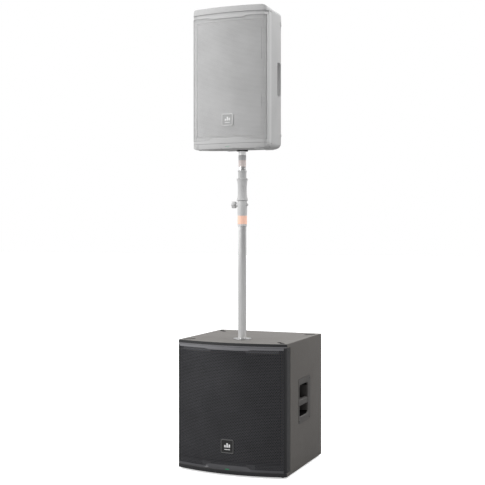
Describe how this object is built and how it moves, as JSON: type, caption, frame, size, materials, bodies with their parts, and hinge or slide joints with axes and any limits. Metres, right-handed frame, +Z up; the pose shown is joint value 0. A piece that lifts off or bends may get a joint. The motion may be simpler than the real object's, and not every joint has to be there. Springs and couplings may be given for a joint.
{
  "type": "powered pa speaker stack",
  "caption": "Powered subwoofer with a bowed grille and side handles, a telescopic pole screwed into its top and a full-range loudspeaker on the pole.",
  "frame": {"origin": "on the floor, under the centre of the subwoofer", "axes": "+Z up, -Y the way the speakers face, +X to the right of someone facing their fronts"},
  "size_m": [0.555, 0.566, 2.18],
  "materials": {
    "cabinet_paint": "dark grey textured paint on plywood",
    "raw_plywood": "bare plywood, painted black on the front face",
    "bezel_plastic": "black textured plastic",
    "handle_plastic": "dark grey moulded plastic",
    "grille_steel": "black powder-coated perforated steel",
    "grille_foam": "black open-cell foam",
    "emblem": "dark plate with a grey rim and a plain emblem",
    "status_light": "green lit lens",
    "cast_basket": "cast, painted dark grey",
    "magnet": "black coated magnet and plates",
    "surround": "black rubberised cloth",
    "spider": "impregnated cloth",
    "cone_paper": "coated paper pulp",
    "coil": "enamelled copper wire",
    "port_plastic": "black plastic",
    "socket_metal": "dark plated steel",
    "foot_rubber": "black rubber",
    "panel_metal": "black anodised sheet",
    "amp_module": "amplifier chassis, mostly air, one solid here",
    "connector_plastic": "black glass-filled plastic",
    "control_plastic": "black plastic",
    "chrome_tube": "chromed steel tube",
    "pole_plastic": "pale grey moulded plastic",
    "grip_rubber": "pale grey ribbed grip",
    "label_orange": "orange band",
    "gas_spring": "painted gas-spring tube",
    "gas_rod": "polished rod",
    "pale_housing": "pale grey textured plastic",
    "pale_grille": "pale grey powder-coated perforated steel",
    "pale_emblem": "pale plate with a rim and a plain emblem"
  },
  "bodies": {
    "sub_and_pole": {"sub_cabinet": "cabinet_paint", "sub_baffle": "raw_plywood", "sub_front_bezel": "bezel_plastic", "sub_grille": "grille_steel", "sub_grille_foam": "grille_foam", "sub_badge": "emblem", "sub_status_light": "status_light", "sub_woofer_basket": "cast_basket", "sub_woofer_magnet": "magnet", "sub_woofer_surround": "surround", "sub_woofer_spider": "spider", "sub_port_left": "port_plastic", "sub_port_right": "port_plastic", "sub_handle_left": "handle_plastic", "sub_handle_right": "handle_plastic", "sub_pole_socket": "socket_metal", "sub_foot_front_left": "foot_rubber", "sub_foot_front_right": "foot_rubber", "sub_foot_rear_left": "foot_rubber", "sub_foot_rear_right": "foot_rubber", "sub_amp_panel": "panel_metal", "sub_amp_module": "amp_module", "sub_mains_inlet": "connector_plastic", "sub_input_1": "connector_plastic", "sub_input_2": "connector_plastic", "sub_output_1": "connector_plastic", "sub_output_2": "connector_plastic", "pole_base": "chrome_tube", "pole_outer_tube": "chrome_tube", "pole_label_lower": "label_orange", "pole_clamp_collar": "pole_plastic", "pole_grip": "grip_rubber", "pole_gas_cylinder": "gas_spring"},
    "sub_cone": {"sub_woofer_cone": "cone_paper", "sub_voice_coil": "coil"},
    "sub_knob": {"sub_control_knob": "control_plastic"},
    "sub_rocker": {"sub_power_switch": "control_plastic"},
    "clamp_pad": {"pole_clamp_pad": "foot_rubber"},
    "clamp_knob": {"pole_clamp_knob": "pole_plastic"},
    "pole_upper": {"pole_inner_tube": "chrome_tube", "pole_stop_sleeve": "grip_rubber", "pole_label_upper": "label_orange", "pole_gas_rod": "gas_rod"},
    "satellite": {"sat_front_housing": "pale_housing", "sat_rear_housing": "pale_housing", "sat_grille": "pale_grille", "sat_badge": "pale_emblem", "sat_status_light": "status_light", "sat_woofer_basket": "cast_basket", "sat_woofer_magnet": "magnet", "sat_horn": "port_plastic", "sat_compression_driver": "magnet", "sat_pole_socket": "connector_plastic", "sat_amp_panel": "panel_metal", "sat_mains_inlet": "connector_plastic", "sat_input_1": "connector_plastic", "sat_input_2": "connector_plastic"},
    "sat_cone": {"sat_woofer_cone": "cone_paper"},
    "sat_knob": {"sat_control_knob": "control_plastic"},
    "sat_rocker": {"sat_power_switch": "control_plastic"}
  },
  "joints": [
    {"name": "pole_height", "type": "slide", "parent": "sub_and_pole", "child": "pole_upper", "axis": [0, 0, 1], "range_m": [0, 0.46]},
    {"name": "satellite_turn", "type": "hinge", "parent": "pole_upper", "child": "satellite", "pos_m": [0, -0.098, 1.6], "axis": [0, 0, 1], "continuous": true},
    {"name": "clamp_pad_slide", "type": "slide", "parent": "sub_and_pole", "child": "clamp_pad", "axis": [-1, 0, 0], "range_m": [0, 0.0025]},
    {"name": "clamp_knob_turn", "type": "hinge", "parent": "clamp_pad", "child": "clamp_knob", "pos_m": [-0.04, -0.098, 1.266], "axis": [-1, 0, 0], "range_deg": [0, 721]},
    {"name": "sub_cone_travel", "type": "slide", "parent": "sub_and_pole", "child": "sub_cone", "axis": [0, 1, 0], "range_m": [-0.008, 0.008], "stiffness_N_per_m": 8000, "deforming": ["sub_woofer_surround", "sub_woofer_spider"]},
    {"name": "sub_knob_turn", "type": "hinge", "parent": "sub_and_pole", "child": "sub_knob", "pos_m": [0.06, 0.27, 0.395], "axis": [0, 1, 0], "continuous": true},
    {"name": "sub_power_rock", "type": "hinge", "parent": "sub_and_pole", "child": "sub_rocker", "pos_m": [0.02, 0.27, 0.16], "axis": [1, 0, 0], "range_deg": [0, 16]},
    {"name": "sat_cone_travel", "type": "slide", "parent": "satellite", "child": "sat_cone", "axis": [0, 1, 0], "range_m": [-0.005, 0.005], "stiffness_N_per_m": 4000},
    {"name": "sat_knob_turn", "type": "hinge", "parent": "satellite", "child": "sat_knob", "pos_m": [0.035, 0.066, 1.938], "axis": [0, 1, 0], "continuous": true},
    {"name": "sat_power_rock", "type": "hinge", "parent": "satellite", "child": "sat_rocker", "pos_m": [0.04, 0.066, 1.69], "axis": [1, 0, 0], "range_deg": [0, 16]}
  ],
  "couplings": [
    {"joint": "clamp_knob_turn", "follows": "clamp_pad_slide", "rad_per_m": 5026.5}
  ]
}
